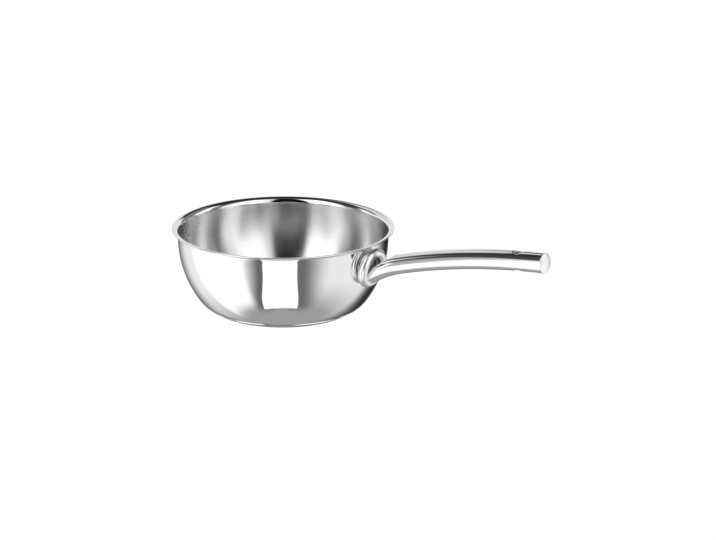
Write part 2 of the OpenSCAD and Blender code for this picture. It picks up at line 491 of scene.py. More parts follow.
@dataclass
class Workshop:
    """Turns arrays of points into finished pieces of the pan."""

    crease: float = radians(32)
    merge: float = 1e-7
    groups: dict[str, bpy.types.NodeTree] = field(default_factory=dict)
    finishes: dict[str, bpy.types.Material] = field(default_factory=dict)

    def __post_init__(self) -> None:
        """Makes the node groups that every finish shares."""
        for group in (turning_marks_group(), drawing_marks_group(), handling_group()):
            self.groups[group.name] = group

    def finish(self, finish: SteelFinish) -> bpy.types.Material:
        """Returns the material of a finish, made at its first use."""
        if finish.name not in self.finishes:
            self.finishes[finish.name] = finish.build(self.groups)
        return self.finishes[finish.name]

    def dress(self, node: str, finish: SteelFinish) -> None:
        """Gives a CAD node that stays in view its material.

        Args:
            node: Name of the node.
            finish: Its finish.
        """
        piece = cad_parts[node]
        material = self.finish(finish)
        if not piece.material_slots:
            piece.data.materials.append(material)
        for slot in piece.material_slots:
            slot.link = "OBJECT"
            slot.material = material
        LOG.info("%s keeps its solid and gets %s", node, finish.name)

    def piece(
        self, name: str, points: np.ndarray, faces: np.ndarray, node: str, slot: str,
        finishes: list[SteelFinish], zones: np.ndarray | None = None,
    ) -> bpy.types.Object:
        """Makes a closed, smooth piece that stands for a CAD node.

        Points that coincide are merged, so that poles and seams are closed, and the faces are
        turned outwards. Edges sharper than the crease angle stay sharp.

        Args:
            name: Name of the piece.
            points: Its vertices, one row each.
            faces: Four vertex numbers a face.
            node: The node that it replaces.
            slot: The record's material slot; not used.
            finishes: Its finishes.
            zones: Number of the finish of each face, where there is more than one.

        Returns:
            The piece.
        """
        mesh = bpy.data.meshes.new(name)
        mesh.from_pydata(points.tolist(), [], faces.tolist())
        for finish in finishes:
            mesh.materials.append(self.finish(finish))
        if zones is not None:
            mesh.polygons.foreach_set("material_index", zones.astype(np.int32))
        shell = bmesh.new()
        shell.from_mesh(mesh)
        bmesh.ops.remove_doubles(shell, verts=shell.verts, dist=self.merge)
        bmesh.ops.recalc_face_normals(shell, faces=shell.faces)
        shell.to_mesh(mesh)
        shell.free()
        mesh.shade_smooth()
        mesh.set_sharp_from_angle(angle=self.crease)
        piece = put(name, mesh)
        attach(piece, ROOT)
        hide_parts(node)
        LOG.info("%s: %d faces for %s", name, len(mesh.polygons), node)
        return piece

    def grid_piece(
        self, name: str, local: np.ndarray, node: str, slot: str, finishes: list[SteelFinish],
        closed: bool = False, seat: Seat = UPRIGHT, zones: np.ndarray | None = None,
    ) -> bpy.types.Object:
        """Makes a piece from a grid of points whose last column joins its first.

        Args:
            name: Name of the piece.
            local: The grid, in the seat's own axes.
            node: The node that it replaces.
            slot: The record's material slot.
            finishes: Its finishes.
            closed: Whether the last row joins the first.
            seat: Where its axis stands.
            zones: Number of the finish of each row of faces, where there is more than one.

        Returns:
            The piece.
        """
        index = np.arange(local.size // 3).reshape(local.shape[:2])
        points = seat.place(local).reshape(-1, 3)
        face_zones = None if zones is None else np.repeat(zones, local.shape[1])
        return self.piece(name, points, quads(index, closed, True), node, slot, finishes, face_zones)


@dataclass
class Bowl:
    """The drawn shell: floor, two corner arcs, spherical wall, straight neck and pouring lip."""

    pan_h: float
    neck_r: float = 101.2 * MM
    wall_t: float = 1.2 * MM
    neck_h: float = 4.8 * MM
    corner_r: float = 33 * MM
    corner_turn: float = 9
    lip_bend_r: float = 4.6 * MM
    lip_turn: float = 84
    lip_reach: float = 5.6 * MM
    cap_t: float = 0.6 * MM
    core_t: float = 5.2 * MM
    floor_rows: int = 14
    neck_rows: int = 5
    steps: int = 288

    def __post_init__(self) -> None:
        """Works out the centres of the arcs from the driving sizes."""
        turn = radians(self.lip_turn)
        lip_run = (self.lip_reach - self.lip_bend_r * (1 - cos(turn))) / sin(turn)
        lip_h = self.lip_bend_r * sin(turn) + lip_run * cos(turn) + self.wall_t / 2
        middle = self.neck_r - self.wall_t / 2
        self.base_t = self.cap_t + self.core_t
        self.lip_z = self.pan_h - lip_h
        self.ball_z = self.lip_z - self.neck_h
        self.lip_c = (middle + self.lip_bend_r, self.lip_z)
        self.lip_end = (middle + self.lip_reach, self.pan_h - self.wall_t / 2)
        inner, drop = self.neck_r - self.corner_r, self.ball_z - self.corner_r
        self.corner_c = (sqrt(inner ** 2 - drop ** 2), self.corner_r)
        self.corner_a = degrees(atan2(-drop, self.corner_c[0]))
        self.floor_a = self.corner_a - self.corner_turn
        self.floor_r = self.corner_r - self.base_t / (1 + sin(radians(self.floor_a)))
        shift = (self.corner_r - self.floor_r) * along(radians(self.floor_a))
        self.floor_c = (self.corner_c[0] + shift[0], self.corner_c[1] + shift[1])

    def face(self, k: float) -> list[np.ndarray]:
        """Walks along the bowl's face from the axis to the lip's edge.

        Args:
            k: Distance inside the outer face.

        Returns:
            The floor, its arc, the corner's arc, the wall, the neck and the lip, each as points.
        """
        level = self.base_t + k
        neck = self.neck_r - k
        return [
            run((0.0, level), (self.floor_c[0], level), self.floor_rows),
            arc(self.floor_c, self.floor_r - k, -90, self.floor_a)[:-1],
            arc(self.corner_c, self.corner_r - k, self.floor_a, self.corner_a)[:-1],
            arc((0.0, self.ball_z), neck, self.corner_a, 0, 1.0)[:-1],
            run((neck, self.ball_z), (neck, self.lip_z), self.neck_rows),
            arc(self.lip_c, self.lip_bend_r - self.wall_t / 2 + k, 180, 180 - self.lip_turn, 3.0),
        ]

    def build(self, shop: Workshop, polished: SteelFinish, satin: SteelFinish) -> bpy.types.Object:
        """Turns the shell; its inside is satin up to the lip, and the rest is polished.

        Args:
            shop: Makes the piece.
            polished: Finish of the outside and the lip.
            satin: Finish of the inside.

        Returns:
            The piece.
        """
        outer = self.face(0.0)
        edge = arc(self.lip_end, self.wall_t / 2, -self.lip_turn, 180 - self.lip_turn, 12.0)
        inner = self.face(self.wall_t)
        profile = np.concatenate([*outer, edge, np.concatenate(inner)[::-1]])
        rows, satin_rows = len(profile) - 1, sum(len(part) for part in inner[:-1])
        zones = np.arange(rows) >= rows - satin_rows
        return shop.grid_piece(
            "bowl_shell", turned(profile, self.steps), "bowl", "bowl_steel", [polished, satin], zones=zones)


@dataclass
class BaseCap:
    """The steel cap under the core, with a fine turned underside."""

    bowl: Bowl
    rim_round: float = 0.25 * MM
    groove_r: tuple[float, ...] = (14 * MM, 28 * MM, 42 * MM)
    groove_w: float = 0.9 * MM
    groove_depth: float = 0.12 * MM
    flat_rows: int = 16
    groove_points: int = 9
    back_rows: int = 8

    @property
    def rim_a(self) -> float:
        """Angle, in degrees, at which the rim's inner face meets the bowl."""
        bowl = self.bowl
        inner, gap = bowl.corner_r - bowl.cap_t, bowl.corner_r - bowl.floor_r
        share = (inner ** 2 + gap ** 2 - bowl.floor_r ** 2) / (2 * inner * gap)
        return bowl.floor_a - degrees(acos(share))

    def underside(self) -> np.ndarray:
        """Walks along the flat underside, down into and out of each shallow turned groove.

        A groove is a cosine dip, as deep as groove_depth in its middle.

        Returns:
            The points from the axis to the start of the corner.
        """
        plain = np.linspace(0, self.bowl.corner_c[0], self.flat_rows, endpoint=False)
        dip = self.groove_w * np.linspace(-0.5, 0.5, self.groove_points)
        radius = np.unique(np.concatenate([plain, *(middle + dip for middle in self.groove_r)]))
        away = np.min(np.abs(radius[:, None] - np.array(self.groove_r)), axis=1)
        height = self.groove_depth * np.where(
            away < self.groove_w / 2, 0.5 + 0.5 * np.cos(2 * pi * away / self.groove_w), 0)
        return np.stack([radius, height], axis=1)

    def build(self, shop: Workshop, polished: SteelFinish, lathed: SteelFinish) -> bpy.types.Object:
        """Turns the cap, with a small round on its rim.

        Args:
            shop: Makes the piece.
            polished: Finish of the rounded rim.
            lathed: Finish of the flat underside.

        Returns:
            The piece.
        """
        bowl = self.bowl
        under = self.underside()
        rim_start = self.rim_a - degrees(self.rim_round / bowl.corner_r)
        outer = arc(bowl.corner_c, bowl.corner_r, -90, rim_start)
        tip_c = np.array(bowl.corner_c) + (bowl.corner_r - self.rim_round) * along(radians(rim_start))
        rim = arc(tuple(tip_c), self.rim_round, self.rim_a, self.rim_a + 90, 15.0)
        inner = arc(bowl.corner_c, bowl.corner_r - bowl.cap_t, self.rim_a, -90)
        back = run((0.0, bowl.cap_t), (bowl.corner_c[0], bowl.cap_t), self.back_rows)[::-1]
        profile = np.concatenate([under, outer, rim[1:], inner, back])
        zones = np.arange(len(profile) - 1) < len(under)
        return shop.grid_piece(
            "base_cap_shell", turned(profile, bowl.steps), "base_cap", "cap_steel", [polished, lathed],
            zones=zones)


@dataclass
class HandleLine:
    """The handle's axis in the XZ plane: the root's bend, then the grip's long bend."""

    bowl: Bowl
    tube_r: float = 9.1 * MM
    root_drop: float = 31.9 * MM
    root_rise: float = radians(36)
    root_bend_r: float = 130 * MM
    root_len: float = 43 * MM
    grip_bend_r: float = 730 * MM
    grip_len: float = 157.5 * MM
    valley_len: float = 39 * MM
    ridge_h: float = 4 * MM

    def __post_init__(self) -> None:
        """Works out where the bends join, where the tube ends and how the valley's plane lies."""
        bowl = self.bowl
        root_z = bowl.pan_h - self.root_drop
        self.root_p = np.array([sqrt(bowl.neck_r ** 2 - (bowl.ball_z - root_z) ** 2), root_z])
        self.root_c = self.root_p - self.root_bend_r * across(self.root_rise)
        self.join_rise = self.root_rise - self.root_len / self.root_bend_r
        self.join_p = self.root_c + self.root_bend_r * across(self.join_rise)
        self.grip_c = self.join_p - self.grip_bend_r * across(self.join_rise)
        self.tip_rise = self.join_rise - self.grip_len / self.grip_bend_r
        valley_rise = self.root_rise - self.valley_len / self.root_bend_r
        valley_tip = self.root_c + (self.root_bend_r + self.tube_r) * across(valley_rise)
        self.ridge_p = self.root_p + self.ridge_h * across(self.root_rise)
        self.press_rise = atan2(valley_tip[1] - self.ridge_p[1], valley_tip[0] - self.ridge_p[0])

    def grip_point(self, rise: float) -> np.ndarray:
        """Returns the point of the grip's axis where it rises by an angle."""
        return self.grip_c + self.grip_bend_r * across(rise)

    def rod(self, rise: np.ndarray, turn: np.ndarray, radius: float) -> np.ndarray:
        """Places points on a rod about the axis.

        A point lies on a circle about its bend's centre, as far out as the bend's radius plus
        the rod's radius times the cosine of its turn from the crown, and sideways by the rod's
        radius times the sine.

        Args:
            rise: Angle by which the axis rises at each point.
            turn: Turn of each point from the crown.
            radius: Radius of the rod.

        Returns:
            The points, with their three coordinates in the last dimension.
        """
        on_root = rise > self.join_rise
        bend = np.where(on_root, self.root_bend_r, self.grip_bend_r) + radius * np.cos(turn)
        x = np.where(on_root, self.root_c[0], self.grip_c[0]) - bend * np.sin(rise)
        z = np.where(on_root, self.root_c[1], self.grip_c[1]) + bend * np.cos(rise)
        return np.stack([x, radius * np.sin(turn), z], axis=-1)


@dataclass
class Ring:
    """The rounded ring on its collar, which is shaped to the pan's wall."""

    bowl: Bowl
    drop: float = 22.6 * MM
    lean: float = radians(12)
    stand: float = 4.8 * MM
    mid_r: float = 14.8 * MM
    section_r: float = 4.6 * MM
    collar_r: float = 11.8 * MM
    collar_t: float = 2.4 * MM
    collar_rows: int = 5
    steps: int = 224

    def __post_init__(self) -> None:
        """Works out the ring's seat on the wall."""
        bowl = self.bowl
        height = bowl.pan_h - self.drop
        reach = sqrt(bowl.neck_r ** 2 - (bowl.ball_z - height) ** 2) + self.stand
        self.seat = Seat((reach, height), -self.lean)

    def wall_depth(self, x: np.ndarray, y: np.ndarray) -> np.ndarray:
        """Finds where lines along the ring's axis meet the pan's outer face.

        Below the neck the face is a sphere about ball_z, and above it a cylinder; each gives a
        quadratic in the distance along the line, of which the outer root is taken.

        Args:
            x: Local X of each line.
            y: Local Y of each line.

        Returns:
            The local Z of each meeting point.
        """
        bowl, radius = self.bowl, self.bowl.neck_r
        start = self.seat.place(np.stack([x, y, 0 * x], axis=-1)) - np.array([0, 0, bowl.ball_z])
        way = np.array([cos(self.seat.rise), 0, sin(self.seat.rise)])
        half = start @ way
        on_ball = -half + np.sqrt(half ** 2 - (start ** 2).sum(-1) + radius ** 2)
        flat = way[0] ** 2
        half = start[..., 0] * way[0] / flat
        rest = (start[..., 0] ** 2 + start[..., 1] ** 2 - radius ** 2) / flat
        on_neck = -half + np.sqrt(half ** 2 - rest)
        above = start[..., 2] + on_ball * way[2] > 0
        return np.where(above, on_neck, on_ball)

    def build(self, shop: Workshop, finish: SteelFinish) -> bpy.types.Object:
        """Carries the section round the ring's axis; the collar's foot follows the wall.

        The section is a circle about mid_r that is open at the back where the collar joins it,
        and the collar's two sides run from the opening's ends to the wall. An end's angle is
        minus the arc cosine of the side's offset from mid_r over the section's radius.

        Args:
            shop: Makes the piece.
            finish: Its finish.

        Returns:
            The piece.
        """
        turn = full_turn(self.steps)
        sides = (self.collar_r + self.collar_t / 2, self.collar_r - self.collar_t / 2)
        first, last = (-degrees(acos((side - self.mid_r) / self.section_r)) for side in sides)
        bead = arc((self.mid_r, 0.0), self.section_r, first, last + 360, 4.0)
        share = np.linspace(0, 1, self.collar_rows + 1)[:-1, None]
        outer, inner = (
            self.wall_depth(side * np.cos(turn), side * np.sin(turn)) * (1 - share) + top * share
            for side, top in zip(sides, bead[[0, -1], 1]))
        side_rows = [np.full(self.collar_rows, side) for side in sides]
        radius = np.concatenate([side_rows[0], bead[:, 0], side_rows[1]])[:, None]
        depth = np.concatenate([outer, bead[:, 1:] + 0 * turn, inner[::-1]])
        return shop.grid_piece(
            "ring_bead", about_axis(radius, turn, depth), "handle_ring", "ring_steel", [finish],
            closed=True, seat=self.seat)


@dataclass
class Saddle:
    """The plate inside the ring that follows the wall."""

    ring: Ring
    radius: float = 10 * MM
    thick: float = 1.5 * MM
    edge_round: float = 0.4 * MM
    rings: int = 10
    steps: int = 96

    def build(self, shop: Workshop, finish: SteelFinish) -> bpy.types.Object:
        """Lays two polar grids on the wall, a thickness apart, and joins their edges.

        Args:
            shop: Makes the piece.
            finish: Its finish.

        Returns:
            The piece.
        """
        turn = full_turn(self.steps)
        flat = np.linspace(0, self.radius - self.edge_round, self.rings)
        bend = np.radians(np.linspace(15, 90, 6))
        rounded = self.edge_round * (1 - np.stack([np.sin(bend), np.cos(bend)]))
        radius = np.concatenate([flat, self.radius - rounded[0], [self.radius], flat[::-1]])[:, None]
        height = np.concatenate([0 * flat + self.thick, self.thick - rounded[1], [0.0], 0 * flat])[:, None]
        x, y = radius * np.cos(turn), radius * np.sin(turn)
        local = np.stack([x, y, self.ring.wall_depth(x, y) + height], axis=-1)
        return shop.grid_piece(
            "saddle_plate", local, "weld_saddle", "saddle_steel", [finish], seat=self.ring.seat)


@dataclass
class HangingHole:
    """Where the hanging hole passes through the tube."""

    line: HandleLine
    inset: float = 26 * MM
    bore_r: float = 4 * MM
    sleeve_t: float = 0.8 * MM
    gap: float = 0.05 * MM

    def __post_init__(self) -> None:
        """Works out the hole's seat, square to the tube's axis, and the radius cut in the tube."""
        self.rise = self.line.tip_rise + self.inset / self.line.grip_bend_r
        point = self.line.grip_point(self.rise)
        self.seat = Seat((point[0], point[1]), self.rise + pi / 2)
        self.cut_r = self.bore_r + self.sleeve_t + self.gap

    def rim(self, way: np.ndarray, radius: float) -> tuple[np.ndarray, np.ndarray]:
        """Finds the hole's edge on a rod about the handle's axis.

        The edge is the hole's circle seen along its axis, so its turn from the crown has the
        circle's sideways reach over the rod's radius as its sine, and its rise differs from the
        hole's by the angle that the circle's lengthwise reach takes at its bend.

        Args:
            way: Direction of each edge point from the hole's axis, from towards the tip.
            radius: Radius of the rod.

        Returns:
            The rise and the turn of each edge point.
        """
        turn = np.arcsin(self.cut_r * np.sin(way) / radius)
        bend = self.line.grip_bend_r + radius * np.cos(turn)
        return self.rise - np.arcsin(self.cut_r * np.cos(way) / bend), turn


@dataclass
class TubeFace:
    """One face of the tube: points, faces, the grid of vertex numbers, and each hole's edge."""

    points: np.ndarray
    faces: np.ndarray
    grid: np.ndarray
    edges: list[np.ndarray]


@dataclass
class Tube:
    """The bent tube, pressed into a valley at its root, with the hanging hole near its end."""

    line: HandleLine
    ring: Ring
    hole: HangingHole
    wall_t: float = 1.2 * MM
    ridge_round: float = 0.45 * MM
    hole_round: float = 0.9 * MM
    columns: int = 192
    root_rows: int = 84
    grip_rows: int = 64
    patch_rows: int = 4
    patch_turn: int = 29
    patch_rings: int = 10
    patch_bunching: float = 1.9
    root_search: float = radians(15)
    halvings: int = 40

    def skin(self, rise: np.ndarray, turn: np.ndarray, inset: float) -> np.ndarray:
        """Places points on the pressed rod.

        The press turns over what stands above the plane through the ridges: a point's height
        over that plane becomes minus the root of its square plus the square of the ridge's
        rounding. The tube's inner face is the same form on a thinner rod and a lower plane.

        Args:
            rise: Angle by which the axis rises at each point.
            turn: Turn of each point from the crown.
            inset: Distance inside the tube's outer face.

        Returns:
            The points, with their three coordinates in the last dimension.
        """
        line = self.line
        points = line.rod(rise, turn, line.tube_r - inset)
        normal = across(line.press_rise)
        over = beyond(points, line.ridge_p, normal) + inset
        shift = -np.sqrt(over ** 2 + self.ridge_round ** 2) - over
        points[..., 0] += shift * normal[0]
        points[..., 2] += shift * normal[1]
        return points

    def root_edge(self, turn: np.ndarray, inset: float) -> np.ndarray:
        """Finds where each line of the skin meets the ring's middle plane, by halving.

        Args:
            turn: Turn of each line from the crown.
            inset: Distance inside the tube's outer face.

        Returns:
            The axis's rise at each meeting point.
        """
        seat = self.ring.seat
        near = np.full(turn.shape, self.line.join_rise)
        far = np.full(turn.shape, self.line.root_rise + self.root_search)
        for _ in range(self.halvings):
            middle = (near + far) / 2
            outside = beyond(self.skin(middle, turn, inset), seat.point, along(seat.rise)) > 0
            near = np.where(outside, middle, near)
            far = np.where(outside, far, middle)
        return near

    def patch(self, border: np.ndarray, side: int, inset: float) -> np.ndarray:
        """Lays rings of points from a hole's edge to the border of the rectangle left for it.

        The rings lie closer together near the edge, by a power of their share of the way. The
        outer face's edge is rounded: a point sinks by hole_round times one minus the root of
        one minus its nearness squared, where nearness falls from 1 at the edge to 0 at hole_round.

        Args:
            border: Rise and turn of each border point.
            side: 1 on the crown, -1 on the belly.
            inset: Distance inside the tube's outer face.

        Returns:
            The points, one row a ring.
        """
        line, hole, radius = self.line, self.hole, self.line.tube_r - inset
        middle = np.array([[hole.rise], [0.0 if side > 0 else -pi]])
        ahead, aside = (border - middle) * [[-line.grip_bend_r], [radius]]
        edge = np.stack(hole.rim(np.arctan2(aside, ahead), radius)) + [[0.0], middle[1]]
        share = (np.arange(self.patch_rings) / self.patch_rings)[:, None] ** self.patch_bunching
        rise, turn = (start + (stop - start) * share for start, stop in zip(edge, border))
        points = self.skin(rise, turn, inset)
        if inset == 0:
            away = np.hypot((hole.rise - rise) * line.grip_bend_r, points[..., 1]) - hole.cut_r
            near = np.clip(1 - away / self.hole_round, 0, 1)
            sink = self.hole_round * (1 - np.sqrt(1 - near ** 2)) * side
            points[..., 0] -= sink * cos(hole.seat.rise)
            points[..., 2] -= sink * sin(hole.seat.rise)
        return points

    def face(self, inset: float, first: int) -> TubeFace:
        """Lays one face of the tube as a grid with two holes, each in a patch of its own.

        Args:
            inset: Distance inside the tube's outer face.
            first: Number of the face's first vertex.

        Returns:
            The face.
        """
        line, half = self.line, self.columns // 2
        turn = np.linspace(-pi, pi, self.columns, endpoint=False)
        share = np.linspace(0, 1, self.root_rows, endpoint=False)[:, None]
        on_root = self.root_edge(turn, inset) * (1 - share) + line.join_rise * share
        on_grip = np.linspace(line.join_rise, line.tip_rise, self.grip_rows + 1)[:, None] + 0 * turn
        rise = np.concatenate([on_root, on_grip])
        index = np.arange(rise.size).reshape(rise.shape)
        points = [self.skin(rise, turn + 0 * rise, inset).reshape(-1, 3)]
        middle_row = int(np.argmin(np.abs(rise[:, 0] - self.hole.rise)))
        rows = np.arange(middle_row - self.patch_rows, middle_row + self.patch_rows + 1)
        kept = np.ones((len(rise) - 1, self.columns), bool)
        patches, edges = [], []
        count = rise.size
        for side, middle_col in ((1, half), (-1, 0)):
            cols = np.arange(middle_col - self.patch_turn, middle_col + self.patch_turn + 1)
            kept[np.ix_(rows[:-1], cols[:-1] % self.columns)] = False
            row, col = border_of(rows, cols).T
            border = np.stack([rise[row, 0], (col - half) * 2 * pi / self.columns])
            patch = self.patch(border, side, inset)
            numbers = count + np.arange(patch.size // 3).reshape(patch.shape[:2])
            count += numbers.size
            points.append(patch.reshape(-1, 3))
            joined = np.concatenate([numbers, index[row, col % self.columns][None]])
            patches.append(quads(joined, False, True))
            edges.append(numbers[0] + first)
        grid = quads(index, False, True)[kept.ravel()]
        faces = np.concatenate([grid, *patches]) + first
        return TubeFace(np.concatenate(points), faces, index + first, edges)

    def build(self, shop: Workshop, finish: SteelFinish) -> bpy.types.Object:
        """Joins the outer and the inner face along both ends and through both holes.

        Args:
            shop: Makes the piece.
            finish: Its finish.

        Returns:
            The piece.
        """
        outer = self.face(0.0, 0)
        inner = self.face(self.wall_t, len(outer.points))
        pairs = [(outer.grid[row], inner.grid[row]) for row in (0, -1)]
        pairs += zip(outer.edges, inner.edges)
        joints = [quads(np.stack(pair), False, True) for pair in pairs]
        faces = np.concatenate([outer.faces, inner.faces, *joints])
        points = np.concatenate([outer.points, inner.points])
        return shop.piece("tube_shell", points, faces, "handle_tube", "tube_steel", [finish])


@dataclass
class Sleeve:
    """The short sleeve that lines the hanging hole, its ends following the tube's round."""

    hole: HangingHole
    recess: float = 0.7 * MM
    steps: int = 96

    def build(self, shop: Workshop, finish: SteelFinish) -> bpy.types.Object:
        """Carries the sleeve's section round the hole; each end follows the tube's crown.

        An end stands at the height of the tube's round at that sideways reach, less the recess,
        and its edge is a half circle between bore and outer face.

        Args:
            shop: Makes the piece.
            finish: Its finish.

        Returns:
            The piece.
        """
        hole, line = self.hole, self.hole.line
        turn = full_turn(self.steps)
        middle = hole.bore_r + hole.sleeve_t / 2
        end = arc((middle, 0.0), hole.sleeve_t / 2, 0, 180, 18.0)
        crown = np.sqrt(line.tube_r ** 2 - (middle * np.sin(turn)) ** 2)
        reach = crown - self.recess - hole.sleeve_t / 2
        radius = np.concatenate([end[:, 0], end[::-1, 0]])[:, None]
        height = np.concatenate([end[:, 1:] + reach, -end[::-1, 1:] - reach])
        return shop.grid_piece(
            "sleeve_liner", about_axis(radius, turn, height), "hanging_sleeve", "sleeve_steel", [finish],
            closed=True, seat=hole.seat)


@dataclass
class EndCap:
    """The domed cap that closes the tube, on a hollow spigot."""

    line: HandleLine
    seat: Seat
    edge_t: float = 0.8 * MM
    dome_h: float = 0.9 * MM
    edge_round: float = 0.3 * MM
    spigot_len: float = 6 * MM
    spigot_t: float = 1.2 * MM
    spigot_gap: float = 0.05 * MM
    tube_t: float = 1.2 * MM
    steps: int = 144

    def build(self, shop: Workshop, finish: SteelFinish) -> bpy.types.Object:
        """Turns the cap about the tube's axis, with a small round on its edge.

        Args:
            shop: Makes the piece.
            finish: Its finish.

        Returns:
            The piece.
        """
        tube_r, ease = self.line.tube_r, self.edge_round
        spigot_r = tube_r - self.tube_t - self.spigot_gap
        bore_r = spigot_r - self.spigot_t
        dome_r = (tube_r ** 2 + self.dome_h ** 2) / (2 * self.dome_h)
        dome_a = degrees(asin((tube_r - ease) / dome_r))
        dome_c = (0.0, self.edge_t + self.dome_h - dome_r)
        dome = arc(dome_c, dome_r, 90 - dome_a, 90, 0.5)
        brim = arc((tube_r - ease, dome[0, 1] - ease), ease, 0, 90 - dome_a, 12.0)
        inside = np.array([
            [0.0, 0.0], [bore_r / 2, 0.0], [bore_r, 0.0], [bore_r, -self.spigot_len],
            [spigot_r, -self.spigot_len], [spigot_r, 0.0], [tube_r - ease / 2, 0.0], [tube_r, ease / 2]])
        profile = np.concatenate([inside, brim[:-1], dome])
        return shop.grid_piece(
            "end_disc", turned(profile, self.steps), "end_cap", "end_steel", [finish], seat=self.seat)


@dataclass(frozen=True)
class Panel:
    """A white card, a softbox or a dark flag of the studio, as the steel mirrors it.

    Angles are in degrees. Azimuth is counted from the camera's side, rising towards the right of
    its picture; bottom and top are elevations. Level is the panel's brightness, with 1 for white.
    A flare widens a side towards the floor, by degrees for each squared degree below FLARE_START.
    """

    name: str
    left: float
    right: float
    level: float
    fade_left: float = 6.0
    fade_right: float = 6.0
    bottom: float = -100.0
    top: float = 100.0
    fade_low: float = 6.0
    fade_high: float = 6.0
    flare_left: float = 0.0
    flare_right: float = 0.0

    def inputs(self) -> dict[str, float]:
        """Returns the panel's values for the mask's inputs, by name."""
        return {
            "Middle": (self.left + self.right) / 2, "Half": (self.right - self.left) / 2,
            "Fade left": self.fade_left, "Fade right": self.fade_right, "Bottom": self.bottom,
            "Top": self.top, "Fade low": self.fade_low, "Fade high": self.fade_high,
            "Flare left": self.flare_left, "Flare right": self.flare_right}


FLARE_START = -20.0


def panel_mask_group() -> bpy.types.NodeTree:
    """Makes the mask of one panel from a direction's azimuth and elevation.

    The azimuth is taken from the panel's middle and wrapped, so that no panel is cut at the
    back. A side moves outwards by its flare times the square of the degrees below FLARE_START.
    Four smooth steps, one for each side, are multiplied.

    Returns:
        The group, with Mask out, from 0 to 1.
    """
    names = ("Azimuth", "Elevation", "Middle", "Half", "Fade left", "Fade right", "Bottom", "Top",
             "Fade low", "Fade high", "Flare left", "Flare right")
    group, wires, given, out = shader_group("Panel mask", dict.fromkeys(names, "Float"), {"Mask": "Float"})
    elevation = given["Elevation"]
    away = wires.math("WRAP", wires.math("SUBTRACT", given["Azimuth"], given["Middle"]), 180.0, -180.0)
    depth = wires.math("MAXIMUM", wires.math("SUBTRACT", FLARE_START, elevation), 0.0)
    squared = wires.math("MULTIPLY", depth, depth)
    spread = wires.math("MULTIPLY_ADD", squared, given["Flare left"], given["Half"])
    left = wires.math("MULTIPLY", spread, -1.0)
    right = wires.math("MULTIPLY_ADD", squared, given["Flare right"], given["Half"])
    steps = []
    for value, edge, outwards, fade in (
            (away, left, "SUBTRACT", "Fade left"), (away, right, "ADD", "Fade right"),
            (elevation, given["Bottom"], "SUBTRACT", "Fade low"),
            (elevation, given["Top"], "ADD", "Fade high")):
        steps.append(wires.ramp(value, wires.math(outwards, edge, given[fade]), edge))
    sides, ends = wires.math("MULTIPLY", *steps[:2]), wires.math("MULTIPLY", *steps[2:])
    wires.feed(out["Mask"], wires.math("MULTIPLY", sides, ends))
    return group


